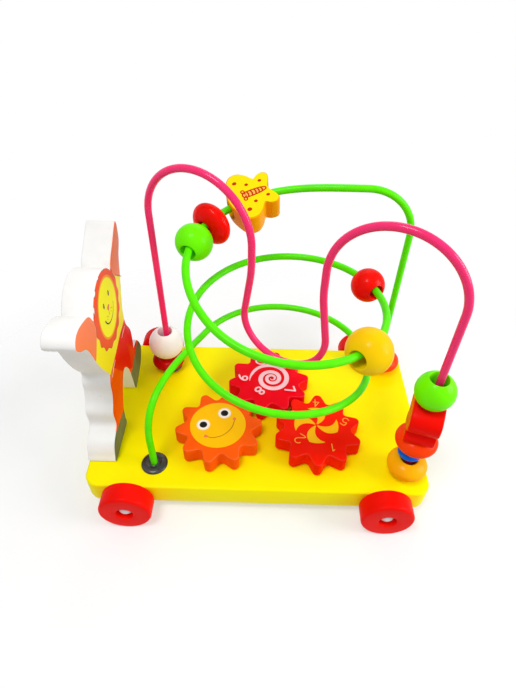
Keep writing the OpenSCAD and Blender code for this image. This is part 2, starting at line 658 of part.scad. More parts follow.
board();
lion_figure();
lion_dowels();
front_left_wheel();
front_right_wheel();
rear_left_wheel();
rear_right_wheel();
front_left_wheel_pin();
front_right_wheel_pin();
rear_left_wheel_pin();
rear_right_wheel_pin();
sun_gear();
pinwheel_gear();
spiral_gear();
sun_gear_peg();
pinwheel_gear_peg();
spiral_gear_peg();
sun_gear_washer();
pinwheel_gear_washer();
spiral_gear_washer();
pink_wire();
green_wire();
front_left_plug();
front_right_plug();
rear_left_plug();
rear_right_plug();
coil_red_ball();
coil_yellow_ball();
top_green_ball();
top_red_bead();
butterfly_block();
rear_dark_red_bead();
rear_white_ball();
rear_orange_bead();
stack_amber_bead();
stack_blue_bead();
stack_scarlet_bead();
stack_red_block();
stack_green_ball();
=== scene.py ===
import math
import bpy
from mathutils import Matrix, Vector


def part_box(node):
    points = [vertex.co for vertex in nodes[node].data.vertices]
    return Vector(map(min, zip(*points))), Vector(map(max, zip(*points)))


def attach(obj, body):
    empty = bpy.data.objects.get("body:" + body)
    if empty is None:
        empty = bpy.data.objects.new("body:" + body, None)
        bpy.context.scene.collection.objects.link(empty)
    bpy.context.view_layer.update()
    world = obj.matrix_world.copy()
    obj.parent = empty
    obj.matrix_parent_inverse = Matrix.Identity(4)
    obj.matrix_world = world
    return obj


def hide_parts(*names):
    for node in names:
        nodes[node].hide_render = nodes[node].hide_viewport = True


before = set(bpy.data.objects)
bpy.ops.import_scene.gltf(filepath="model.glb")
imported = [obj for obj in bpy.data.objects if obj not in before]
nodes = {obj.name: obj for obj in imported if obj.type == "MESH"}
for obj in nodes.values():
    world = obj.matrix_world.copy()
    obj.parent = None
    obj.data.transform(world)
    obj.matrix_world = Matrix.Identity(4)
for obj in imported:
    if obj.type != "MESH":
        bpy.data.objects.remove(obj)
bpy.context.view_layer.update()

scene = bpy.context.scene
mm = 0.001

# The frame's board gives the height that the other pieces stand on
boardLow, boardHigh = [Vector(corner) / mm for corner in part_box("board")]
boardTop = boardHigh.z


# A shader socket that adds, multiplies and divides like a number
class Shade:
    def __init__(self, tree, socket=None):
        self.tree = tree
        self.socket = socket

    # Any node: its type, its settings, its sockets by name or place, and the output that is wanted
    def node(self, kind, settings=None, sockets=None, output=0):
        made = self.tree.nodes.new(kind)
        for key, value in (settings or {}).items():
            setattr(made, key, value)
        for key, value in (sockets or {}).items():
            self.feed(made.inputs[key], value)
        return Shade(self.tree, made.outputs[output])

    def feed(self, target, value):
        if isinstance(value, Shade):
            self.tree.links.new(value.socket, target)
        else:
            target.default_value = value

    def sums(self, operation, *values):
        return self.node("ShaderNodeMath", {"operation": operation}, dict(enumerate(values)))

    def __add__(self, other):
        return self.sums("ADD", self, other)

    def __radd__(self, other):
        return self.sums("ADD", other, self)

    def __sub__(self, other):
        return self.sums("SUBTRACT", self, other)

    def __rsub__(self, other):
        return self.sums("SUBTRACT", other, self)

    def __mul__(self, other):
        return self.sums("MULTIPLY", self, other)

    def __rmul__(self, other):
        return self.sums("MULTIPLY", other, self)

    def __truediv__(self, other):
        return self.sums("DIVIDE", self, other)

    def __rtruediv__(self, other):
        return self.sums("DIVIDE", other, self)

    def __abs__(self):
        return self.sums("ABSOLUTE", self)

    def most(self, other):
        return self.sums("MAXIMUM", self, other)

    def root(self):
        return self.sums("SQRT", self)

    def held(self):
        return self.sums("MINIMUM", self, 1.0).most(0.0)

    # One below zero and nothing above it, with a soft step between
    def inside(self, soft):
        return (0.5 - self / soft).held()

    # Nothing below low and one above high
    def band(self, low, high):
        return ((self - low) / (high - low)).held()


# Colours are written as they look on a screen
def linear(rgb):
    return tuple(c / 12.92 if c <= 0.04045 else ((c + 0.055) / 1.055) ** 2.4 for c in rgb) + (1.0,)


# A material with its shader and its place in millimetres
class Paint:
    def __init__(self, name):
        self.material = bpy.data.materials.new(name)
        self.material.use_nodes = True
        tree = self.material.node_tree
        self.shader = tree.nodes["Principled BSDF"]
        self.start = Shade(tree)
        self.place = self.start.node("ShaderNodeTexCoord", output="Object")
        self.x, self.y, self.z = [self.along(axis) for axis in "XYZ"]

    def along(self, axis):
        return self.start.node("ShaderNodeSeparateXYZ", {}, {"Vector": self.place}, axis) / mm

    def noise(self, scale, detail, stretch=(1, 1, 1), roughness=0.5):
        place = self.start.node("ShaderNodeMapping", {}, {"Vector": self.place, "Scale": stretch})
        sockets = {"Vector": place, "Scale": scale, "Detail": detail, "Roughness": roughness}
        return self.start.node("ShaderNodeTexNoise", {}, sockets)

    def mix(self, low, high, share):
        return self.start.node("ShaderNodeMix", {"data_type": "RGBA"}, {0: share, 6: low, 7: high}, 2)

    def finish(self, colour, roughness, height=None, depth=0.0, coat=0.0, coatRoughness=0.1, gloss=0.16):
        sockets = {"Base Color": colour, "Roughness": roughness, "Specular IOR Level": gloss,
                   "Coat Weight": coat, "Coat Roughness": coatRoughness}
        if height is not None:
            bump = {"Strength": 1.0, "Distance": depth * mm, "Height": height}
            sockets["Normal"] = self.start.node("ShaderNodeBump", {}, bump)
        for key, value in sockets.items():
            self.start.feed(self.shader.inputs[key], value)
        return self.material


# Brushed lacquer over close-grained wood: soft clouds, faint grain and a few specks; rim is the height of a
# paler band just under the top edge, a painted edge highlight broken up along the grain like wear
lacquerLook = {"cloud": 60, "grain": 420, "speck": 1500, "depth": 0.035, "gloss": 0.04}


def lacquer(name, rgb, deep, stretch=(1, 1, 1), coat=0.03, rough=0.34, rim=None):
    paint = Paint(name)
    cloud = paint.noise(lacquerLook["cloud"], 3)
    grain = paint.noise(lacquerLook["grain"], 4, stretch, 0.65)
    speck = paint.noise(lacquerLook["speck"], 1).band(0.72, 0.78)
    tone = cloud.band(0.35, 0.75) * 0.45 + grain.band(0.5, 0.8) * 0.16
    colour = paint.mix(linear(rgb), linear(deep), tone)
    colour = paint.mix(colour, linear(deep), speck * 0.35)
    # Painted edge highlight: a band at the rim height is whitened, patchy along the grain like wear
    if rim:
        pale = linear([c * 0.6 + 0.4 for c in rgb])
        sheenAndWear = (abs(paint.z - rim) - 0.2).inside(0.2) * grain.band(0.3, 0.6)
        colour = paint.mix(colour, pale, sheenAndWear * 0.3)
    roughness = rough + cloud * 0.08 + grain * 0.06
    height = grain * 0.6 + cloud * 0.8
    return paint.finish(colour, roughness, height, lacquerLook["depth"], coat, gloss=lacquerLook["gloss"])


# Smooth plastic coat drawn over steel wire, with slow ripples
wireLook = {"ripple": 180, "fine": 900, "depth": 0.02, "coatRoughness": 0.14, "gloss": 0.06}


def wireCoat(name, rgb, deep, coat):
    paint = Paint(name)
    ripple = paint.noise(wireLook["ripple"], 2)
    fine = paint.noise(wireLook["fine"], 2)
    colour = paint.mix(linear(rgb), linear(deep), ripple.band(0.4, 0.8) * 0.5)
    height = ripple + fine * 0.1
    return paint.finish(colour, 0.28 + fine * 0.1, height, wireLook["depth"], coat,
                        wireLook["coatRoughness"], wireLook["gloss"])


# Screen-printed ink with a slightly uneven cover
inkLook = {"cover": 700, "cloud": 90, "depth": 0.01, "coat": 0.02, "gloss": 0.07}


def ink(name, rgb, deep):
    paint = Paint(name)
    cover = paint.noise(inkLook["cover"], 3)
    cloud = paint.noise(inkLook["cloud"], 2)
    tone = cover.band(0.5, 0.8) * 0.3 + cloud.band(0.4, 0.8) * 0.25
    colour = paint.mix(linear(rgb), linear(deep), tone)
    return paint.finish(colour, 0.34 + cover * 0.1, cover, inkLook["depth"], inkLook["coat"],
                        gloss=inkLook["gloss"])


# Moulded plastic with a fine sparked skin
mouldedLook = {"skin": 2600, "cloud": 240, "depth": 0.02, "coat": 0.3, "coatRoughness": 0.12, "gloss": 0.4}


def moulded(name, rgb, deep, rough):
    paint = Paint(name)
    skin = paint.noise(mouldedLook["skin"], 2)
    cloud = paint.noise(mouldedLook["cloud"], 2)
    colour = paint.mix(linear(rgb), linear(deep), cloud.band(0.35, 0.75) * 0.6)
    return paint.finish(colour, rough + skin * 0.12, skin, mouldedLook["depth"], mouldedLook["coat"],
                        mouldedLook["coatRoughness"], mouldedLook["gloss"])


# Bare turned wood with long grain
woodLook = {"grain": 300, "stretch": (6, 6, 0.5), "depth": 0.08,
            "pale": (0.86, 0.7, 0.48), "deep": (0.62, 0.43, 0.24)}


def bareWood(name):
    paint = Paint(name)
    grain = paint.noise(woodLook["grain"], 4, woodLook["stretch"], 0.6)
    colour = paint.mix(linear(woodLook["pale"]), linear(woodLook["deep"]), grain.band(0.35, 0.7))
    return paint.finish(colour, 0.55 + grain * 0.2, grain, woodLook["depth"])


# Inks by name, each with its tone and a deeper one
inkTones = {
    "black": ((0.1, 0.09, 0.09), (0.04, 0.04, 0.04)),
    "white": ((0.98, 0.95, 0.92), (0.93, 0.88, 0.84)),
    "ring": ((0.97, 0.88, 0.78), (0.93, 0.82, 0.7)),
    "sun": ((1.0, 0.755, 0.01), (0.98, 0.7, 0.01)),
    "pink": ((1.0, 0.8, 0.84), (0.98, 0.7, 0.76)),
    "cheek": ((0.95, 0.5, 0.3), (0.9, 0.42, 0.24)),
    "line": ((0.66, 0.4, 0.03), (0.56, 0.32, 0.02)),
    "amber": ((1.0, 0.74, 0.03), (1.0, 0.69, 0.02)),
    "number": ((1.0, 0.66, 0.25), (0.98, 0.56, 0.16)),
    "yellow": ((1.0, 0.88, 0.01), (0.99, 0.82, 0.01)),
    "orange": ((1.0, 0.35, 0.0), (0.97, 0.3, 0.0)),
    "rust": ((0.76, 0.19, 0.0), (0.68, 0.14, 0.0)),
    "pale": ((0.98, 0.72, 0.3), (0.96, 0.64, 0.22))}
inks = {name: ink("ink_" + name, *tones) for name, tones in inkTones.items()}
print("inks made")


# Outline helpers in millimetres
def evenly(first, last, count):
    return [first + (last - first) * i / count for i in range(count + 1)]


# Point on the unit circle, for a turn in degrees
def unit(turn):
    return Vector((math.cos(math.radians(turn)), math.sin(math.radians(turn))))


def smoothStep(a, b, c, d, t):
    return b + t * (c - a + t * (2 * a - 5 * b + 4 * c - d + t * (3 * (b - c) + d - a))) / 2


def smoothLoop(points, count):
    total = len(points)
    made = []
    for i in range(total):
        corners = [Vector(points[(i + k) % total]) for k in (-1, 0, 1, 2)]
        made += [smoothStep(*corners, k / count) for k in range(count)]
    return made


def smoothLine(points, count):
    points = [Vector(p) for p in points]
    last = len(points) - 1
    made = []
    for i in range(last):
        corners = [points[min(max(i + k, 0), last)] for k in (-1, 0, 1, 2)]
        made += [smoothStep(*corners, k / count) for k in range(count)]
    return made + [points[-1]]


def arcPoints(centre, radius, first, last, count):
    return [Vector(centre) + radius * unit(turn) for turn in evenly(first, last, count)]


def disc(u, v, across, up=None, count=48):
    size = Vector((across, up or across))
    return [Vector((u, v)) + size * unit(turn) for turn in evenly(0, 360, count)[:-1]]


# Half circle that ends a pen line
def roundCap(p, way, width, count):
    base = math.degrees(math.atan2(way.y, way.x))
    return [p + unit(turn) * width / 2 for turn in evenly(base + 90, base - 90, count)[1:-1]]


# Closed outline of a pen line with round ends; width may be a list, one for each point
def penLine(points, width, ends=6):
    points = [Vector(p) for p in points]
    widths = width if isinstance(width, (list, tuple)) else [width] * len(points)
    last = len(points) - 1
    left, right = [], []
    for i, p in enumerate(points):
        way = (points[min(i + 1, last)] - points[max(i - 1, 0)]).normalized()
        side = Vector((-way.y, way.x)) * widths[i] / 2
        left.append(p + side)
        right.append(p - side)
    front = roundCap(points[-1], points[-1] - points[-2], widths[-1], ends)
    back = roundCap(points[0], points[0] - points[1], widths[0], ends)
    return left + front + right[::-1] + back


# A pen line that bends hard or changes its width, as short overlapping strokes
def penStrokes(path, widths, material, ends):
    made = []
    for i in range(len(path) - 1):
        if (path[i + 1] - path[i]).length > 1e-6:
            made.append((penLine(path[i:i + 2], widths[i:i + 2], ends), material))
    return made


# The same outline, running anticlockwise
def anticlockwise(outline):
    area = sum(a[0] * b[1] - b[0] * a[1] for a, b in zip(outline, outline[1:] + outline[:1]))
    return outline if area > 0 else outline[::-1]


# Places in millimetres
def spin(turn, axis):
    return Matrix.Rotation(math.radians(turn), 4, axis)


def at(x, y, z, turn=0):
    return Matrix.Translation((x, y, z)) @ spin(turn, "Z")


# Turns in degrees past which an edge stays sharp, and the least share that a corner's inset is divided by
meshLook = {"sharp": 35, "cutSharp": 32, "corner": 0.6}


def soften(mesh, turn):
    for polygon in mesh.polygons:
        polygon.use_smooth = True
    mesh.set_sharp_from_angle(angle=math.radians(turn))


# Objects from points in millimetres
def build(name, points, faces, materials, indices=None):
    mesh = bpy.data.meshes.new(name)
    mesh.from_pydata([Vector(p) * mm for p in points], [], faces)
    for material in materials:
        mesh.materials.append(material)
    if indices:
        mesh.polygons.foreach_set("material_index", indices)
    mesh.validate()
    mesh.update()
    soften(mesh, meshLook["sharp"])
    made = bpy.data.objects.new(name, mesh)
    scene.collection.objects.link(made)
    return made


# A piece rides with its body and takes the place of its CAD node
def stand(piece, body, node, slot):
    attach(piece, body)
    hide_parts(node)


# Four-sided faces between closed rows of points
def rowFaces(rows, count):
    faces = []
    for r in range(rows - 1):
        for i in range(count):
            n = (i + 1) % count
            faces.append((r * count + i, r * count + n, (r + 1) * count + n, (r + 1) * count + i))
    return faces


# The faces that close the first and the last row
def endFaces(rows, count):
    return [tuple(range(count - 1, -1, -1)), tuple((rows - 1) * count + i for i in range(count))]


# Turned solid: a closed profile of radius and height, spun and placed
def turned(profile, steps, place):
    points, faces = [], []
    count = len(profile)
    for turn in evenly(0, 360, steps)[:-1]:
        across = unit(turn)
        points += [place @ Vector((r * across.x, r * across.y, h)) for r, h in profile]
    for i in range(steps):
        j = (i + 1) % steps
        for k in range(count):
            n = (k + 1) % count
            if profile[k][0] > 1e-6 or profile[n][0] > 1e-6:
                faces.append((i * count + k, j * count + k, j * count + n, i * count + n))
    return points, faces


# Thick outline with rounded edges, its middle at half the thickness
def slab(outline, thick, edge, place, rounds=4):
    outline = anticlockwise(outline)
    count = len(outline)
    inward = []
    for i in range(count):
        a = (outline[i] - outline[i - 1]).normalized()
        b = (outline[(i + 1) % count] - outline[i]).normalized()
        n = Vector((-a.y - b.y, a.x + b.x))
        inward.append(n.normalized() / max(meshLook["corner"], n.length / 2))
    ease = [(edge * (1 - unit(a).y), -thick / 2 + edge * (1 - unit(a).x)) for a in evenly(0, 90, rounds)]
    rows = ease + [(inset, -h) for inset, h in ease[::-1]]
    points = []
    for inset, h in rows:
        points += [place @ Vector((*(p + n * inset), h)) for p, n in zip(outline, inward)]
    return points, rowFaces(len(rows), count) + endFaces(len(rows), count)


# Round tube whose sides are carried along the path, so that it never twists
def tube(path, radius, sides):
    last = len(path) - 1
    ways = [(path[min(i + 1, last)] - path[max(i - 1, 0)]).normalized() for i in range(last + 1)]
    side = ways[0].orthogonal().normalized()
    points = []
    for p, way in zip(path, ways):
        side = (side - way * side.dot(way)).normalized()
        up = way.cross(side)
        turns = [radius * unit(turn) for turn in evenly(0, 360, sides)[:-1]]
        points += [p + side * turn.x + up * turn.y for turn in turns]
    return points, rowFaces(last + 1, sides) + endFaces(last + 1, sides)


# Printed shapes lie on a face as thin films, each a little higher than the one before
film = {"lift": 0.03, "step": 0.004}


def printed(name, shapes, place, body):
    points, faces, indices, materials = [], [], [], []
    for level, (outline, material) in enumerate(shapes):
        outline = anticlockwise(outline)
        first = len(points)
        height = film["lift"] + film["step"] * level
        points += [place @ Vector((p[0], p[1], height)) for p in outline]
        faces.append(tuple(range(first, len(points))))
        if material not in materials:
            materials.append(material)
        indices.append(materials.index(material))
    made = build(name, points, faces, materials, indices)
    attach(made, body)


# A bore cut out of a piece by a turned tool
def cutAway(piece, points, faces):
    tool = build(piece.name + "_tool", points, faces, [])
    change = piece.modifiers.new("bore", "BOOLEAN")
    change.operation = "DIFFERENCE"
    change.solver = "EXACT"
    change.object = tool
    bpy.context.view_layer.update()
    mesh = bpy.data.meshes.new_from_object(piece.evaluated_get(bpy.context.evaluated_depsgraph_get()))
    piece.modifiers.clear()
    piece.data = mesh
    soften(mesh, meshLook["cutSharp"])
    bpy.data.objects.remove(tool)


# Board
boardSizes = {"corner": 9, "edge": 1.2}
boardPaint = lacquer("board_yellow", (1.0, 0.955, 0.0), (1.0, 0.905, 0.0), (0.25, 4, 4))


def boardOutline(half, corner):
    made = []
    for x, y, first in ((1, 1, 0), (-1, 1, 90), (-1, -1, 180), (1, -1, 270)):
        centre = (x * (half.x - corner), y * (half.y - corner))
        made += arcPoints(centre, corner, first, first + 90, 12)
    return made


boardHalf = (boardHigh - boardLow) / 2
points, faces = slab(boardOutline(boardHalf, boardSizes["corner"]), 2 * boardHalf.z, boardSizes["edge"],
                     at(0, 0, boardTop - boardHalf.z))
stand(build("board_lacquered", points, faces, [boardPaint]), "cart", "board", "board_yellow")

# Wheels and their pins, turned about the axle and measured out from the wheel's inner face
wheelSizes = {"r": 15, "w": 12, "edge": 1.8, "bore": 2.56, "hub": 5, "lip": 0.5, "depth": 3.4, "gap": 1.2,
              "axle": 74, "steps": 96}
pinSizes = {"r": 2.5, "point": 2.2, "taper": 0.4, "back": -10.2, "seat": 8.66, "headR": 3.8, "headH": 2.2,
            "steps": 48}
wheelPaint = lacquer("wheel_red", (0.98, 0.07, 0.02), (0.88, 0.03, 0.02))
pinPaint = moulded("pin_grey", (0.9, 0.9, 0.9), (0.8, 0.79, 0.8), 0.3)


def wheelProfile(s):
    rim = s["r"] - s["edge"]
    outer = arcPoints((rim, s["edge"]), s["edge"], -90, 0, 6)
    outer += arcPoints((rim, s["w"] - s["edge"]), s["edge"], 0, 90, 6)
    lip = arcPoints((s["hub"] + s["lip"], s["w"] - s["lip"]), s["lip"], 90, 180, 4)
    floor = s["w"] - s["depth"]
    return [(s["bore"], 0)] + outer + lip + [(s["hub"], floor), (s["bore"], floor)]


def pinProfile(s):
    shank = [(0, s["back"]), (s["point"], s["back"]), (s["r"], s["back"] + s["taper"]), (s["r"], s["seat"])]
    turns = [unit(a) for a in evenly(0, 90, 12)[:-1]]
    head = [(s["headR"] * turn.x, s["seat"] + s["headH"] * turn.y) for turn in turns]
    return shank + head + [(0, s["seat"] + s["headH"])]


wheelSides = {"front_left": (-1, -1), "front_right": (1, -1), "rear_left": (-1, 1), "rear_right": (1, 1)}
for corner, (x, y) in wheelSides.items():
    inner = y * (boardHalf.y + wheelSizes["gap"])
    place = at(x * wheelSizes["axle"], inner, wheelSizes["r"]) @ spin(-90 * y, "X")
    wheel = corner + "_wheel"
    points, faces = turned(wheelProfile(wheelSizes), wheelSizes["steps"], place)
    stand(build(wheel + "_turned", points, faces, [wheelPaint]), wheel, wheel, "wheel_red")
    points, faces = turned(pinProfile(pinSizes), pinSizes["steps"], place)
    stand(build(corner + "_pin_domed", points, faces, [pinPaint]), "cart", wheel + "_pin", "pin_grey")
print("board and wheels made")

# Gears: the sun and the pinwheel in front, the spiral between and behind them; turn is the spiral's own
gearSizes = {"tip": 26.4, "root": 20.2, "tipRound": 2.9, "gapRound": 2.3, "thick": 10.5, "teeth": 10,
             "edge": 0.7, "washer": 1.2, "bore": 4.06, "boreDepth": 7.3, "x": 6, "y": -22.2, "across": 30,
             "spacing": 49, "turn": 6.5, "sheenAndWear": 0.3}
gearLow = boardTop + gearSizes["washer"]
gearTop = gearLow + gearSizes["thick"]
gearBack = math.sqrt(gearSizes["spacing"] ** 2 - gearSizes["across"] ** 2)
gearPlaces = {"sun": (gearSizes["x"] - gearSizes["across"], gearSizes["y"]),
              "spiral": (gearSizes["x"], gearSizes["y"] + gearBack),
              "pinwheel": (gearSizes["x"] + gearSizes["across"], gearSizes["y"])}
gearTones = {"sun": ("gear_orange", (1.0, 0.37, 0.04), (0.95, 0.31, 0.03)),
             "spiral": ("gear_crimson", (0.95, 0.0, 0.1), (0.87, 0.0, 0.07)),
             "pinwheel": ("gear_red", (1.0, 0.1, 0.0), (0.92, 0.06, 0.0))}


def gearOutline(s):
    pitch = 360 / s["teeth"]
    tip = (s["tip"] - s["tipRound"]) * unit(0)
    gap = (s["root"] + s["gapRound"]) * unit(pitch / 2)
    line = math.degrees(math.atan2(gap.y - tip.y, gap.x - tip.x))
    end = line - math.degrees(math.acos((s["tipRound"] + s["gapRound"]) / (gap - tip).length))
    side = arcPoints(tip, s["tipRound"], 0, end, 7)
    side += arcPoints(gap, s["gapRound"], end + 180, 180 + pitch / 2, 5)
    tooth = [Vector((p.x, -p.y)) for p in side[:0:-1]] + side[:-1]
    made = []
    for i in range(s["teeth"]):
        turn = Matrix.Rotation(math.radians(i * pitch), 2)
        made += [turn @ p for p in tooth]
    return made


# The turn at which a gear's gaps take the spiral gear's teeth
def gearTurn(key):
    if key == "spiral":
        return gearSizes["turn"]
    way = Vector(gearPlaces["spiral"]) - Vector(gearPlaces[key])
    line = math.degrees(math.atan2(way.y, way.x))
    return 2 * line + 180 + 180 / gearSizes["teeth"] - gearSizes["turn"]


for key, (x, y) in gearPlaces.items():
    slot, rgb, deep = gearTones[key]
    # rim places the painted edge highlight band just under the gear's top face
    paint = lacquer(slot, rgb, deep, rim=gearTop - gearSizes["sheenAndWear"])
    place = at(x, y, gearTop - gearSizes["thick"] / 2, gearTurn(key))
    points, faces = slab(gearOutline(gearSizes), gearSizes["thick"], gearSizes["edge"], place)
    piece = build(key + "_gear_cut", points, faces, [paint])
    r, h = gearSizes["bore"], gearSizes["boreDepth"]
    cutAway(piece, *turned([(r, -1), (r, h), (0, h), (0, -1)], 40, at(x, y, gearLow)))
    stand(piece, key + "_gear", key + "_gear", slot)

# Printed sun face
sunMarks = {"disc": (-0.6, 0.6, 16.9), "eyes": ((-9.4, 0.2), (2.8, 9.4)),
            "rings": ((4.1, "ring"), (3.5, "white"), (2.3, "black")),
            "smile": ((-7.0, -8.2), (-2.7, -9.2), (3.4, -6.8), (7.9, -1.4), (9.4, 5.0)), "pen": 0.42,
            "cheeks": ((-7.2, -8.2), (9.2, 5.2)), "cheekR": 1.1}
sunShapes = [(disc(*sunMarks["disc"], count=96), inks["sun"])]
for u, v in sunMarks["eyes"]:
    sunShapes += [(disc(u, v, r), inks[tone]) for r, tone in sunMarks["rings"]]
sunShapes.append((penLine(smoothLine(sunMarks["smile"], 8), sunMarks["pen"]), inks["line"]))
sunShapes += [(disc(u, v, sunMarks["cheekR"]), inks["cheek"]) for u, v in sunMarks["cheeks"]]
printed("sun_gear_print", sunShapes, at(*gearPlaces["sun"], gearTop), "sun_gear")

# Plain numbers as pen lines in a box of width 0.6 and height 1, with the middle at the origin
figureLines = {
    "0": [(0.3 * unit(a).y, 0.5 * unit(a).x) for a in evenly(0, 360, 24)],
    "1": [(-0.16, 0.3), (0.06, 0.48), (0.06, -0.5)],
    "2": [(-0.28, 0.26), (-0.2, 0.42), (0, 0.5), (0.2, 0.43), (0.28, 0.25), (0.2, 0.04), (-0.3, -0.48),
          (0.32, -0.48)],
    "3": [(-0.26, 0.38), (0, 0.5), (0.24, 0.38), (0.24, 0.16), (0, 0.03), (0.28, -0.12), (0.28, -0.36),
          (0, -0.5), (-0.28, -0.38)],
    "4": [(0.3, -0.14), (-0.32, -0.14), (0.1, 0.5), (0.1, -0.5)],
    "5": [(0.26, 0.48), (-0.2, 0.48), (-0.26, 0.04), (0.04, 0.12), (0.28, -0.04), (0.28, -0.32),
          (0.04, -0.5), (-0.28, -0.4)],
    "6": [(0.2, 0.5), (-0.12, 0.22), (-0.28, -0.14), (-0.2, -0.42), (0.02, -0.5), (0.24, -0.38),
          (0.27, -0.16), (0.08, 0.02), (-0.16, -0.04), (-0.27, -0.2)],
    "7": [(-0.3, 0.48), (0.3, 0.48), (-0.06, -0.5)],
    "8": [(0, 0.03), (0.22, 0.16), (0.22, 0.38), (0, 0.5), (-0.22, 0.38), (-0.22, 0.16), (0, 0.03),
          (0.28, -0.14), (0.26, -0.38), (0, -0.5), (-0.26, -0.38), (-0.28, -0.14), (0, 0.03)]}
figureLines["9"] = [(-u, -v) for u, v in figureLines["6"]]
curvedFigures = "0235689"


# A number at a radius and a turn on the gear; up is the turn that its top points to
def number(figure, radius, turn, up, tall, width, material):
    stance = Matrix.Rotation(math.radians(up - 90), 2)
    path = [Vector(p) * tall for p in figureLines[figure]]
    if figure in curvedFigures:
        path = smoothLine(path, 5)
    path = [radius * unit(turn) + stance @ p for p in path]
    return penStrokes(path, [width] * len(path), material, 8)


# Printed spiral: a pale band that winds in from a thin tail, by rows of turn, radius and width
spiralMarks = {
    "middle": (2.0, 0.6), "tail": 189, "tall": 6.2, "pen": 1.15,
    "rows": ((0, 14.8, 0.2), (28, 13.8, 1.8), (59, 13.2, 2.3), (90, 12.2, 2.7), (137, 11.0, 2.9),
             (184, 9.8, 3.1), (232, 9.2, 3.1), (275, 8.7, 3.0), (328, 8.1, 2.9), (367, 7.4, 2.9),
             (412, 6.7, 2.8), (453, 6.0, 2.8), (538, 4.9, 2.8), (636, 4.1, 2.5), (724, 3.4, 2.2),
             (816, 2.7, 1.9), (900, 2.0, 1.4), (990, 1.4, 0.9), (1080, 0.9, 0.3)),
    "numbers": (("0", 16.3, 111, -18), ("9", 17.2, 180, -20), ("8", 12.6, 243, -43), ("7", 16.7, -35, 14),
                ("6", 16.5, 42, -10))}


def spiralBand(s):
    line, widths = [], []
    for first, last in zip(s["rows"], s["rows"][1:]):
        for t in evenly(0, 1, 8)[:-1]:
            turn, radius, width = Vector(first).lerp(Vector(last), t)
            line.append(Vector(s["middle"]) + radius * unit(s["tail"] - turn))
            widths.append(width)
    return penStrokes(line, widths, inks["pink"], 6)


spiralShapes = spiralBand(spiralMarks)
for row in spiralMarks["numbers"]:
    spiralShapes += number(*row, spiralMarks["tall"], spiralMarks["pen"], inks["pink"])
printed("spiral_gear_print", spiralShapes, at(*gearPlaces["spiral"], gearTop), "spiral_gear")

# Printed pinwheel: four blades between curves that sweep round as they go out, and numbers round them
pinwheelMarks = {
    "middle": (-0.8, 2.3), "start": 0.8, "reach": 13.4, "low": (-57, 0.2), "high": (-18, 0.215), "pen": 0.6,
    "numbers": (("5", 17.6, 18, -128, 5.6), ("4", 19.4, 90, -92, 5.6), ("3", 18, 147, -105, 5.4),
                ("2", 14.2, -143, -132, 6.6), ("1", 16.2, -61, -86, 5.0))}


def blade(s, turn):
    def edge(first, sweep):
        return [(r, turn + first + sweep * r * r) for r in evenly(s["start"], s["reach"], 12)]
    low, high = edge(*s["low"]), edge(*s["high"])
    arc = [(s["reach"], a) for a in evenly(low[-1][1], high[-1][1], 8)[1:-1]]
    return [Vector(s["middle"]) + r * unit(a) for r, a in low + arc + high[::-1]]


pinwheelShapes = [(blade(pinwheelMarks, turn), inks["amber"]) for turn in (0, 90, 180, 270)]
for row in pinwheelMarks["numbers"]:
    pinwheelShapes += number(*row, pinwheelMarks["pen"], inks["number"])
printed("pinwheel_gear_print", pinwheelShapes, at(*gearPlaces["pinwheel"], gearTop), "pinwheel_gear")
print("gears made")

# Wires: the pink one runs from rear left to front right, the green one from front left to rear right
feet = {"front_left": (-61, -42.5), "rear_right": (83.5, 44), "rear_left": (-63.2, 38.8),
        "front_right": (88, -42)}
wireSizes = {"r": 2, "foot": 9, "sides": 28}
pinkSizes = {"topR": 32.6, "topH": 151.5, "dipR": 25, "dipH": 48.5, "easyR": 80, "lean": 9}
pinkCoat = wireCoat("wire_pink", (1.0, 0.16, 0.45), (1.0, 0.1, 0.37), 0.45)
greenCoat = wireCoat("wire_green", (0.37, 0.95, 0.0), (0.28, 0.86, 0.0), 0.1)


# Half of the pink wire is drawn from the middle of its dip in a plane through both feet, then mirrored
def pinkPath(s):
    first, last = Vector(feet["rear_left"]), Vector(feet["front_right"])
    middle = (first + last) / 2
    half = (last - first).length / 2
    way = (last - first).normalized()
    dip = Vector((0, s["dipH"] + s["dipR"]))
    top = Vector((half - s["topR"], s["topH"] - s["topR"]))
    inner = half - 2 * s["topR"]
    lean = math.radians(s["lean"])
    start = dip + s["dipR"] * unit(s["lean"])
    easyIn = inner + s["easyR"] * (1 - math.cos(lean))
    easyZ = start.y + (start.x - easyIn) / math.tan(lean)
    easy = Vector((inner + s["easyR"], easyZ + s["easyR"] * math.sin(lean)))
    flat = arcPoints(dip, s["dipR"], -90, s["lean"], 32)
    flat += arcPoints(easy, s["easyR"], 180 + s["lean"], 180, 8)
    flat += arcPoints(top, s["topR"], 180, 0, 60)
    flat += [Vector((half, h)) for h in evenly(top.y, 0, 16)[1:] + [-wireSizes["foot"]]]
    both = [Vector((-p.x, p.y)) for p in flat[:0:-1]] + flat
    return [Vector((*(middle + p.x * way), boardTop + p.y)) for p in both]


# The coil has a share of its radius and of its height at each step of its turn, from the top down
coilSizes = {"x": 11.5, "r": 52, "top": 134, "first": 60, "step": 60, "high": 110, "low": 875, "fine": 2.5,
             "bend": 28, "rise": 20, "riseShare": 0.72, "meetShare": 0.77, "liftShare": 0.03,
             "leaveShare": 0.4, "barShare": 0.38}
coilRadii = (1, 0.975, 0.955, 0.95, 1.025, 1.045, 1.035, 1.035, 1, 1.01, 0.995, 0.975, 0.97, 0.99, 1)
coilHeights = (1, 0.919, 0.854, 0.748, 0.701, 0.66, 0.636, 0.604, 0.557, 0.489, 0.43, 0.366, 0.346, 0.34,
               0.345)


def shareAt(shares, turn):
    step = (turn - coilSizes["first"]) / coilSizes["step"]
    last = len(shares) - 1
    i = min(max(math.floor(step), 0), last - 1)
    return smoothStep(*[shares[min(max(i + k, 0), last)] for k in (-1, 0, 1, 2)], step - i)


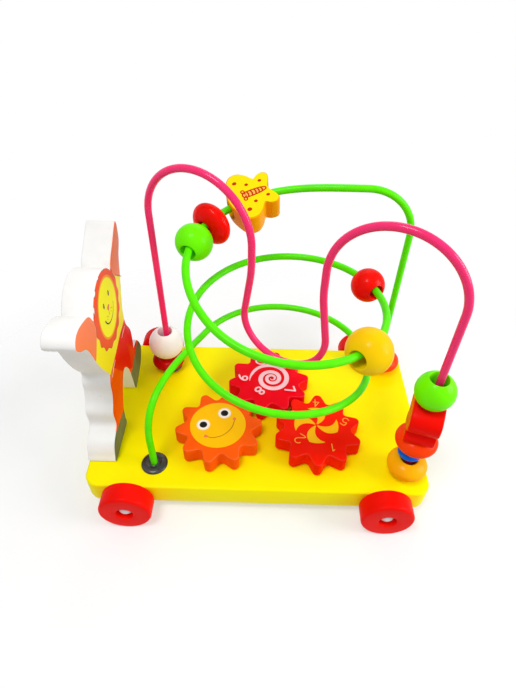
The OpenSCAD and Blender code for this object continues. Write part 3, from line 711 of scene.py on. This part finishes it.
def coilAt(turn):
    across = coilSizes["r"] * shareAt(coilRadii, turn) * unit(turn)
    height = coilSizes["top"] * shareAt(coilHeights, turn)
    return Vector((coilSizes["x"] + across.x, across.y, boardTop + height))


def coilWay(turn):
    return (coilAt(turn - 1) - coilAt(turn + 1)).normalized()


def bezier(a, b, c, d, count):
    made = []
    for t in evenly(0, 1, count):
        s = 1 - t
        made.append(s ** 3 * a + 3 * s * s * t * b + 3 * s * t * t * c + t ** 3 * d)
    return made


def greenPath(s):
    up = Vector((0, 0, 1))
    foot = Vector((*feet["front_left"], boardTop))
    rear = Vector((*feet["rear_right"], boardTop))
    low, high = coilAt(s["low"]), coilAt(s["high"])
    end = rear + Vector((-s["bend"], 0, s["top"]))
    path = [foot - up * wireSizes["foot"]] + [foot + up * h for h in evenly(0, s["rise"], 6)[:-1]]
    rising = foot + up * (s["rise"] + s["r"] * s["riseShare"])
    meeting = low - s["r"] * s["meetShare"] * coilWay(s["low"]) + up * s["top"] * s["liftShare"]
    path += bezier(foot + up * s["rise"], rising, meeting, low, 44)
    path += [coilAt(s["low"] - s["fine"] * k) for k in range(1, int((s["low"] - s["high"]) / s["fine"]))]
    leaving = high + s["r"] * s["leaveShare"] * coilWay(s["high"])
    path += bezier(high, leaving, end - Vector((s["r"] * s["barShare"], 0, 0)), end, 32)
    path += [end + Vector((p.x, 0, p.y - s["bend"])) for p in arcPoints((0, 0), s["bend"], 90, 0, 24)[1:]]
    tail = path[-1]
    return path + [Vector((tail.x, tail.y, z)) for z in evenly(tail.z, boardTop - wireSizes["foot"], 16)[1:]]


points, faces = tube(pinkPath(pinkSizes), wireSizes["r"], wireSizes["sides"])
stand(build("pink_wire_bent", points, faces, [pinkCoat]), "cart", "pink_wire", "wire_pink")
points, faces = tube(greenPath(coilSizes), wireSizes["r"], wireSizes["sides"])
stand(build("green_wire_bent", points, faces, [greenCoat]), "cart", "green_wire", "wire_green")

# Plugs round the feet: a shank in the board, a domed rim, a shallow dish and four small ribs
plugSizes = {"r": 7.8, "h": 1.6, "shank": 4, "bore": 2.06, "flat": 0.55, "steps": 64,
             "dish": ((4.2, 1.58), (3.7, 1.25), (3.1, 1.15), (2.7, 1.45), (2.35, 1.5), (2.06, 1.2))}
ribSizes = {"count": 4, "turn": 35, "out": 5.0, "up": 1.2, "long": 1.5, "wide": 0.45, "thick": 0.9,
            "edge": 0.25}
plugPaint = moulded("plug_black", (0.18, 0.17, 0.17), (0.08, 0.08, 0.08), 0.35)


def plugProfile(s):
    low = -wireSizes["foot"]
    turns = [unit(a) for a in evenly(0, 90, 10)[1:-1]]
    rim = [(s["r"] * (s["flat"] + (1 - s["flat"]) * turn.x), s["h"] * turn.y) for turn in turns]
    return [(s["bore"], low), (s["shank"], low), (s["shank"], 0), (s["r"], 0)] + rim + list(s["dish"])


for corner, (x, y) in feet.items():
    points, faces = turned(plugProfile(plugSizes), plugSizes["steps"], at(x, y, boardTop))
    for k in range(ribSizes["count"]):
        turn = 360 / ribSizes["count"] * k + ribSizes["turn"]
        place = at(x, y, boardTop + ribSizes["up"], turn) @ Matrix.Translation((ribSizes["out"], 0, 0))
        outline = disc(0, 0, ribSizes["long"], ribSizes["wide"], 24)
        rib, ribFaces = slab(outline, ribSizes["thick"], ribSizes["edge"], place, 3)
        first = len(points)
        points += rib
        faces += [tuple(i + first for i in face) for face in ribFaces]
    stand(build(corner + "_plug_moulded", points, faces, [plugPaint]), "cart", corner + "_plug", "plug_black")
print("wires and plugs made")

# Beads: radius, half height, bore and paint, then the turn on the coil, or the leg and the lean in the bore
beadTones = {
    "bead_red": ((0.97, 0.05, 0.0), (0.87, 0.02, 0.0)),
    "bead_yellow": ((1.0, 0.83, 0.0), (1.0, 0.73, 0.0)),
    "bead_green": ((0.47, 1.0, 0.0), (0.38, 0.94, 0.0)),
    "bead_white": ((1.0, 0.99, 0.98), (0.98, 0.965, 0.95)),
    "bead_dark_red": ((0.8, 0.04, 0.03), (0.64, 0.02, 0.02)),
    "bead_orange": ((1.0, 0.27, 0.0), (1.0, 0.2, 0.0)),
    "bead_amber": ((1.0, 0.71, 0.0), (1.0, 0.63, 0.0)),
    "bead_blue": ((0.0, 0.46, 0.98), (0.0, 0.37, 0.88))}
coilBeads = {
    "coil_red_ball": (9.6, 9.6, 4.2, "bead_red", 386),
    "coil_yellow_ball": (12, 11.1, 4.8, "bead_yellow", 319),
    "top_green_ball": (10, 9.4, 4.2, "bead_green", 161.5),
    "top_red_bead": (12, 6.6, 4.8, "bead_red", 142)}
legBeads = {
    "rear_dark_red_bead": (11, 5.6, 4.8, "bead_dark_red", "rear_left", (-0.35, -0.3)),
    "rear_white_ball": (11.4, 11.4, 4.8, "bead_white", "rear_left", (-0.35, -0.3)),
    "rear_orange_bead": (11.5, 6.4, 4.8, "bead_orange", "rear_right", (0.7, -0.7)),
    "stack_amber_bead": (11.5, 6.8, 4.8, "bead_amber", "front_right", (-0.55, -0.45)),
    "stack_blue_bead": (7, 4.4, 4.2, "bead_blue", "front_right", (-0.7, 0.5)),
    "stack_scarlet_bead": (11.8, 6.6, 4.8, "bead_orange", "front_right", (0.06, 0.6)),
    "stack_green_ball": (10.3, 10.3, 4.8, "bead_green", "front_right", (-0.2, 0.1))}
beadLook = {"lip": 0.55, "lipDrop": 0.5, "hang": 0.68, "seat": 0.3, "steps": 72, "coat": 0.1, "rough": 0.28}
beadPaints = {name: lacquer(name, *tones, coat=beadLook["coat"], rough=beadLook["rough"])
              for name, tones in beadTones.items()}


# The lip of the bore is eased at both ends
def beadProfile(r, half, bore):
    lip = beadLook["lip"]
    stop = math.degrees(math.acos((bore + lip) / r))
    outer = [(r * unit(a).x, half * unit(a).y) for a in evenly(-stop, stop, 48)]
    top = half * unit(stop).y
    drop = lip * beadLook["lipDrop"]
    ease = [(bore + lip * (1 - unit(a).y), top - drop * (1 - unit(a).x)) for a in evenly(0, 90, 4)[1:]]
    return outer + ease + [(p, -h) for p, h in ease[::-1]]


# A place on the coil with its axis along the wire, hanging by a share of the room in the bore
def coilPlace(turn, bore, hang):
    way = coilWay(turn)
    drop = Vector((0, 0, hang * (bore - wireSizes["r"])))
    aim = math.degrees(math.atan2(way.y, way.x))
    return at(*(coilAt(turn) - drop), aim) @ spin(math.degrees(math.acos(way.z)), "Y")


def legPlace(leg, z, lean, bore, turn=0):
    room = bore - wireSizes["r"] - beadLook["seat"]
    return at(feet[leg][0] + room * lean[0], feet[leg][1] + room * lean[1], z, turn)


# The lowest and the highest level of a CAD node
def heights(node):
    return [corner[2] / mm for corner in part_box(node)]


def bead(node, r, half, bore, paint, place):
    points, faces = turned(beadProfile(r, half, bore), beadLook["steps"], place)
    stand(build(node + "_turned", points, faces, [beadPaints[paint]]), node, node, paint)


for node, (r, half, bore, paint, turn) in coilBeads.items():
    bead(node, r, half, bore, paint, coilPlace(turn, bore, beadLook["hang"]))
for node, (r, half, bore, paint, leg, lean) in legBeads.items():
    bead(node, r, half, bore, paint, legPlace(leg, sum(heights(node)) / 2, lean, bore))
print("beads made")

# Butterfly blocks: half an outline in shares of the length and the width, and the print on both faces
wingShares = ((-0.5, 0.1), (-0.43, 0.3), (-0.35, 0.43), (-0.24, 0.5), (-0.08, 0.495), (0.06, 0.4),
              (0.13, 0.315), (0.18, 0.285), (0.28, 0.34), (0.4, 0.35), (0.475, 0.29), (0.465, 0.2),
              (0.42, 0.12), (0.375, 0.04))
blockMarks = {
    "inset": 0.955, "spotShare": 0.85, "pen": 0.9, "bow": 0.35, "feelers": (-0.13, 0.7, -0.15, 1.9),
    "spots": ((-0.23, 0.31, 1.25), (-0.02, 0.2, 1.05), (0.265, 0.187, 1.05), (0.285, -0.157, 1.05),
              (0.0, -0.193, 1.05), (-0.19, -0.31, 1.35), (-0.36, 0.02, 1.0)),
    "spine": (-0.13, 0.0, 0.1, 0.2, 0.28), "outer": (4.2, 4.4, 4.2, 3.8, 2.6),
    "inner": (2.7, 2.9, 2.7, 2.3, 1.1),
    "bands": ((-0.08, 3.0), (0.0, 3.1), (0.08, 2.9), (0.15, 2.6), (0.22, 2.1)),
    "knobs": (-0.16, 2.4, 1.25, 0.6)}
butterflySizes = {"long": 27, "wide": 30.5, "thick": 14.5, "bore": 5.6, "edge": 0.8, "turn": 111, "lean": 22,
                  "hang": 0.42}
redSizes = {"long": 27.5, "wide": 25.5, "thick": 16, "bore": 4.8, "edge": 0.8, "turn": -18,
            "lean": (0, 0.5), "seatShare": 0.465}
butterflyPaint = lacquer("butterfly_yellow", (0.98, 0.67, 0.02), (0.92, 0.56, 0.02))
redPaint = lacquer("block_red", (1.0, 0.05, 0.0), (0.93, 0.03, 0.0))


def wings(s):
    half = [Vector((u * s["long"], v * s["wide"])) for u, v in wingShares]
    return smoothLoop(half + [Vector((p.x, -p.y)) for p in half[::-1]], 8)


def block(node, s, place, material, slot):
    points, faces = slab(wings(s), s["thick"], s["edge"], place)
    piece = build(node + "_cut", points, faces, [material])
    r, h = s["bore"], s["long"]
    cutAway(piece, *turned([(r, -h), (r, h), (0, h), (0, -h)], 48, place @ spin(90, "Y")))
    stand(piece, node, node, slot)


def butterflyPrint(s, ground):
    marks = blockMarks
    long, wide = s["long"], s["wide"]
    shapes = [([p * marks["inset"] for p in wings(s)], ground)]
    for u, v, r in marks["spots"]:
        shapes.append((disc(u * long, v * wide, r, r * marks["spotShare"]), inks["rust"]))
    spine = [(u * long, 0) for u in marks["spine"]]
    shapes.append((penLine(spine, marks["outer"], 10), inks["rust"]))
    shapes.append((penLine(spine, marks["inner"], 10), inks["pale"]))
    for u, tall in marks["bands"]:
        line = [(u * long, -tall / 2), (u * long + marks["bow"], 0), (u * long, tall / 2)]
        shapes.append((penLine(line, marks["pen"]), inks["rust"]))
    rootU, rootV, endU, endV = marks["feelers"]
    knobU, knobV, outer, inner = marks["knobs"]
    for side in (-1, 1):
        line = [(rootU * long, side * rootV), (endU * long, side * endV)]
        shapes.append((penLine(line, marks["pen"]), inks["rust"]))
        shapes.append((disc(knobU * long, side * knobV, outer), inks["rust"]))
        shapes.append((disc(knobU * long, side * knobV, inner), inks["pale"]))
    return shapes


def blockFaces(names, s, ground, place, body):
    for name, turn in names:
        face = place @ spin(turn, "X") @ Matrix.Translation((0, 0, s["thick"] / 2))
        printed(name, butterflyPrint(s, ground), face, body)


butterflyPlace = coilPlace(butterflySizes["turn"], butterflySizes["bore"], butterflySizes["hang"])
butterflyPlace = butterflyPlace @ spin(-90, "Y") @ spin(butterflySizes["lean"], "X")
block("butterfly_block", butterflySizes, butterflyPlace, butterflyPaint, "butterfly_yellow")
blockFaces((("butterfly_print_top", 0), ("butterfly_print_under", 180)), butterflySizes, inks["yellow"],
           butterflyPlace, "butterfly_block")
redZ = heights("stack_scarlet_bead")[1] + beadLook["seat"] + redSizes["long"] * redSizes["seatShare"]
redPlace = legPlace("front_right", redZ, redSizes["lean"], redSizes["bore"], redSizes["turn"]) @ spin(90, "Y")
block("stack_red_block", redSizes, redPlace, redPaint, "block_red")
blockFaces((("red_block_print_front", 180), ("red_block_print_back", 0)), redSizes, inks["orange"],
           redPlace, "stack_red_block")
print("blocks made")

# Lion: its outline in shares of the width and the height, with a round mane over the head
lionSizes = {"tall": 112, "wide": 90, "thick": 16.5, "edge": 0.7, "mane": 22, "maneShare": 0.738,
             "least": 0.02}
lionShares = (
    (-0.45, 0), (-0.46, 0.045), (-0.422, 0.103), (-0.35, 0.134), (-0.311, 0.165), (-0.314, 0.246),
    (-0.272, 0.295), (-0.244, 0.348), (-0.237, 0.402), (-0.209, 0.451), (-0.25, 0.509), (-0.3, 0.58),
    (-0.339, 0.647), (-0.372, 0.723), (-0.409, 0.781), (-0.478, 0.821), (-0.52, 0.866), (-0.489, 0.904),
    (-0.428, 0.913), (-0.333, 0.896), (-0.267, 0.871), (-0.217, 0.813), (-0.111, 0.786), (0.15, 0.82),
    (0.233, 0.888), (0.331, 0.938), (0.468, 1), (0.468, 0.9), (0.4, 0.83), (0.345, 0.73), (0.3, 0.65),
    (0.255, 0.555), (0.26, 0.465), (0.322, 0.375), (0.322, 0.28), (0.315, 0.235), (0.41, 0.225),
    (0.478, 0.125), (0.41, 0.05), (0.29, 0.012), (0.18, 0), (0.155, 0.107), (0.13, 0.205), (0.065, 0.275),
    (0, 0.275), (-0.08, 0.2), (-0.133, 0.125), (-0.145, 0.055), (-0.165, 0))
lionFront = boardLow.x + lionSizes["thick"]


def lionOutline(s):
    body = smoothLoop([(u * s["wide"], v * s["tall"]) for u, v in lionShares], 6)
    body = [Vector((p.x, max(p.y, 0))) for p in body]
    made = [p for i, p in enumerate(body) if (p - body[i - 1]).length > s["least"]]
    middle = Vector((0, s["tall"] * s["maneShare"]))
    hidden = [i for i, p in enumerate(made) if (p - middle).length < s["mane"]]
    ends = [made[i] - middle for i in (hidden[0], hidden[-1])]
    turns = [math.degrees(math.atan2(p.y, p.x)) for p in ends]
    made[hidden[0]:hidden[-1] + 1] = arcPoints(middle, s["mane"], *turns, 60)
    return made


# The painted front: coral limbs, a yellow shirt, red trousers, green shoes, a waved mane and a yellow face
lionTones = {
    "coral": (1.0, 0.52, 0.34), "orange": (0.98, 0.33, 0.03), "shirt": (1.0, 0.95, 0.16),
    "trousers": (0.93, 0.09, 0.04), "shoe": (0.42, 0.46, 0.33), "crown": (0.97, 0.95, 0.93),
    "outline": (0.5, 0.3, 0.24), "mane": (0.98, 0.34, 0.16), "rim": (1.0, 0.62, 0.12),
    "face": (1.0, 0.98, 0.04), "white": (0.975, 0.97, 0.96), "shade": (0.95, 0.942, 0.93),
    "chip": (0.5, 0.47, 0.42)}
lionPatches = (
    ("shirt", ((-31, 73), (-20, 50), (22, 56), (35, 79), (23, 89), (-21, 84))),
    ("trousers", ((-20, 48.6), (2, 31), (16, 13), (34, 24), (32, 40), (22, 56.5), (5, 54.8), (-6, 51.8))),
    ("shoe", ((-48, 16), (-48, -3), (-9, -3), (-9, 12.5), (-27, 14.5))),
    ("shoe", ((13, 17), (13, -3), (46, -3), (46, 24), (33, 23))))
lionHead = {"mane": (0.3, 82.4, 21.4, 22.4), "waves": 15.0, "waveH": 0.75, "outline": 0.35,
            "rim": (1.5, 82.5, 16.7, 18.2), "face": (1.5, 82.5, 15.4, 16.9), "crownV": 90.0, "crownU": 18.0}
lionLook = {"wobble": 160, "wobbleH": 0.48, "cloud": 70, "chip": 900, "grain": 380, "stretch": (4, 1, 0.3),
            "legV": 48.0, "legSoft": 6, "skin": 0.35, "depth": 0.04, "coat": 0.02, "gloss": 0.06}


def lionPaint():
    paint = Paint("lion_printed")
    tones = {name: linear(rgb) for name, rgb in lionTones.items()}
    u, v = paint.y, paint.z - boardTop
    wobble = (paint.noise(lionLook["wobble"], 2) - 0.5) * lionLook["wobbleH"]

    # The distance out of a patch with straight sides
    def patch(corners):
        made = None
        for a, b in zip(corners, corners[1:] + corners[:1]):
            way = (Vector(b) - Vector(a)).normalized()
            away = (u - a[0]) * way.y - (v - a[1]) * way.x
            made = away if made is None else made.most(away)
        return (made + wobble).inside(0.2)

    # The distance out of an oval
    def oval(middleU, middleV, across, up):
        du, dv = (u - middleU) / across, (v - middleV) / up
        return ((du * du + dv * dv).root() - 1.0) * min(across, up)

    legs = (v - lionLook["legV"]).inside(lionLook["legSoft"])
    colour = paint.mix(tones["coral"], tones["orange"], legs)
    for tone, corners in lionPatches:
        colour = paint.mix(colour, tones[tone], patch(corners))
    crown = (lionHead["crownV"] - v).inside(0.3) * (abs(u) - lionHead["crownU"]).inside(0.3)
    colour = paint.mix(colour, tones["crown"], crown)
    turn = u.sums("ARCTAN2", u, v - lionHead["mane"][1])
    waves = u.sums("SINE", turn * lionHead["waves"]) * lionHead["waveH"]
    mane = oval(*lionHead["mane"]) - waves
    colour = paint.mix(colour, tones["outline"], (mane - lionHead["outline"]).inside(0.2))
    colour = paint.mix(colour, tones["mane"], mane.inside(0.2))
    for part in ("rim", "face"):
        colour = paint.mix(colour, tones[part], oval(*lionHead[part]).inside(0.3))
    front = (lionFront - lionLook["skin"] - paint.x).inside(0.1)
    cloud = paint.noise(lionLook["cloud"], 3)
    chip = paint.noise(lionLook["chip"], 2).band(0.735, 0.76)
    white = paint.mix(tones["white"], tones["shade"], cloud.band(0.4, 0.75))
    white = paint.mix(white, tones["chip"], chip * 0.5)
    colour = paint.mix(white, colour, front)
    grain = paint.noise(lionLook["grain"], 3, lionLook["stretch"])
    return paint.finish(colour, 0.3 + cloud * 0.12, grain * 0.5 + cloud, lionLook["depth"], lionLook["coat"],
                        gloss=lionLook["gloss"])


# The lion stands across the board and faces along it
def lionPlace(x):
    facing = Matrix(((0, 0, 1, 0), (1, 0, 0, 0), (0, 1, 0, 0), (0, 0, 0, 1)))
    return Matrix.Translation((x, 0, boardTop)) @ facing


points, faces = slab(lionOutline(lionSizes), lionSizes["thick"], lionSizes["edge"],
                     lionPlace(lionFront - lionSizes["thick"] / 2))
stand(build("lion_cut_out", points, faces, [lionPaint()]), "cart", "lion_figure", "lion_white")

# Printed lion: eyes with a glint, nose, lip, smile, freckles and the seams of its clothes
lionMarks = {
    "eyes": ((6.4, 88.7), (-3.9, 87.6)), "eye": (1.0, 1.7), "glint": (-0.3, 0.6, 0.32),
    "nose": ((-0.2, 83.2), (2.0, 83.8), (4.0, 83.0), (2.9, 81.2), (1.6, 80.4), (0.6, 81.4)),
    "lip": ((1.6, 80.4), (1.3, 77.6)), "lipPen": 0.4,
    "smile": ((1.9, 82.2), 8.9, 199, 345, 24), "smilePen": (0.95, 0.35),
    "freckles": ((-2.6, 79.4), (-1.0, 78.2), (-3.0, 77.6), (5.2, 79.2), (6.6, 78.4), (4.6, 77.6)),
    "freckle": 0.36,
    "seams": (((19.7, 52.8), (15.0, 52.3), (10.8, 51.3)), ((-7.0, 50.4), (-12.0, 49.2), (-17.1, 46.7))),
    "seamPen": (0.5, 0.9, 0.5), "cuff": ((22.9, 88.7), (32.4, 81.0)), "cuffPen": 0.45}


def lionPrint(marks):
    shapes = []
    glintU, glintV, glintR = marks["glint"]
    for u, v in marks["eyes"]:
        shapes.append((disc(u, v, *marks["eye"]), inks["black"]))
        shapes.append((disc(u + glintU, v + glintV, glintR), inks["white"]))
    shapes.append((smoothLoop(marks["nose"], 5), inks["cheek"]))
    shapes.append((penLine(marks["lip"], marks["lipPen"]), inks["line"]))
    smile = arcPoints(*marks["smile"])
    shapes.append((penLine(smile, evenly(*marks["smilePen"], len(smile) - 1)), inks["black"]))
    shapes += [(disc(u, v, marks["freckle"]), inks["line"]) for u, v in marks["freckles"]]
    shapes += [(penLine(seam, marks["seamPen"]), inks["white"]) for seam in marks["seams"]]
    shapes.append((penLine(marks["cuff"], marks["cuffPen"]), inks["line"]))
    return shapes


printed("lion_face_print", lionPrint(lionMarks), lionPlace(lionFront), "cart")
print("lion made")

# CAD pieces that stay: pegs, washers and dowels
woodPaint = bareWood("bare_wood")
washerPaint = moulded("washer_ivory", (0.93, 0.9, 0.83), (0.86, 0.82, 0.72), 0.45)
stays = {"lion_dowels": woodPaint}
for key in gearPlaces:
    stays[key + "_gear_peg"] = woodPaint
    stays[key + "_gear_washer"] = washerPaint
for node, paint in stays.items():
    nodes[node].data.materials.clear()
    nodes[node].data.materials.append(paint)

# Camera, with its angles in degrees and its place in metres
cameraSizes = {"pitch": -43.543, "yaw": 0.569, "roll": 1.135, "lens": 26.336, "sensor": 36, "near": 0.01,
               "place": (0.000611, -0.208876, 0.280491)}
level, lift = unit(90 + cameraSizes["yaw"]), unit(cameraSizes["pitch"])
ahead = Vector((level.x * lift.x, level.y * lift.x, lift.y))
across = ahead.cross(Vector((0, 0, 1))).normalized()
upward = across.cross(ahead)
roll = unit(cameraSizes["roll"])
right = roll.x * across + roll.y * upward
top = roll.x * upward - roll.y * across
lens = bpy.data.cameras.new("camera")
lens.sensor_width = cameraSizes["sensor"]
lens.lens = cameraSizes["lens"]
lens.clip_start = cameraSizes["near"]
camera = bpy.data.objects.new("camera", lens)
camera.matrix_world = Matrix((right, top, -ahead)).transposed().to_4x4()
camera.location = cameraSizes["place"]
scene.collection.objects.link(camera)
scene.camera = camera

# Floor that fades into the white round the part
floorSizes = {"half": 600, "near": 105.0, "far": 210.0, "narrow": 0.8, "clear": 0.4,
              "pale": (0.985, 0.985, 0.985), "shade": (0.97, 0.97, 0.97)}


def floorPaint(s):
    paint = Paint("floor_pale")
    cloud = paint.noise(14, 2)
    colour = paint.mix(linear(s["pale"]), linear(s["shade"]), cloud.band(0.4, 0.7))
    paint.finish(colour, 0.8 + cloud * 0.1)
    long = paint.x * s["narrow"]
    reach = (long * long + paint.y * paint.y).root().band(s["near"], s["far"]).most(s["clear"])
    surface = Shade(paint.start.tree, paint.shader.outputs[0])
    clear = paint.start.node("ShaderNodeBsdfTransparent")
    blend = paint.start.node("ShaderNodeMixShader", {}, {0: reach, 1: surface, 2: clear})
    paint.start.feed(paint.start.tree.nodes["Material Output"].inputs["Surface"], blend)
    return paint.material


floorCorners = [Vector((x, y, 0)) * floorSizes["half"] for x, y in ((-1, -1), (1, -1), (1, 1), (-1, 1))]
ground = build("floor", floorCorners, [(0, 1, 2, 3)], [floorPaint(floorSizes)])

# Lamps in metres and watts, and a world that is white to the camera and in reflections
lampRows = {
    "key_light": {"place": (-0.22, -0.3, 0.93), "aim": (0, 0, 0.05), "size": 0.3, "power": 3.7},
    "fill_light": {"place": (0.84, -0.16, 0.44), "aim": (0, 0, 0.06), "size": 0.6, "power": 5.5},
    "back_light": {"place": (0.1, 0.7, 0.7), "aim": (0, 0, 0.06), "size": 0.6, "power": 1.0}}
ambient = (0.45, 0.45, 0.45, 1)
white = (1, 1, 1, 1)


def softbox(name, row):
    lamp = bpy.data.lights.new(name, "AREA")
    lamp.shape = "DISK"
    lamp.size = row["size"]
    lamp.energy = row["power"]
    made = bpy.data.objects.new(name, lamp)
    made.location = row["place"]
    made.rotation_euler = (Vector(row["aim"]) - Vector(row["place"])).to_track_quat("-Z", "Y").to_euler()
    scene.collection.objects.link(made)


for name, row in lampRows.items():
    softbox(name, row)
world = bpy.data.worlds.new("studio")
world.use_nodes = True
scene.world = world
sky = Shade(world.node_tree)
seen = sky.node("ShaderNodeLightPath", output="Is Camera Ray")
for ray in ("Is Glossy Ray", "Is Transmission Ray"):
    seen = seen.most(sky.node("ShaderNodeLightPath", output=ray))
tint = sky.node("ShaderNodeMix", {"data_type": "RGBA"}, {0: seen, 6: ambient, 7: white}, 2)
background = world.node_tree.nodes["Background"]
sky.feed(background.inputs["Color"], tint)
sky.feed(background.inputs["Strength"], 1.0)
scene.view_settings.view_transform = "Standard"
print("stage made")
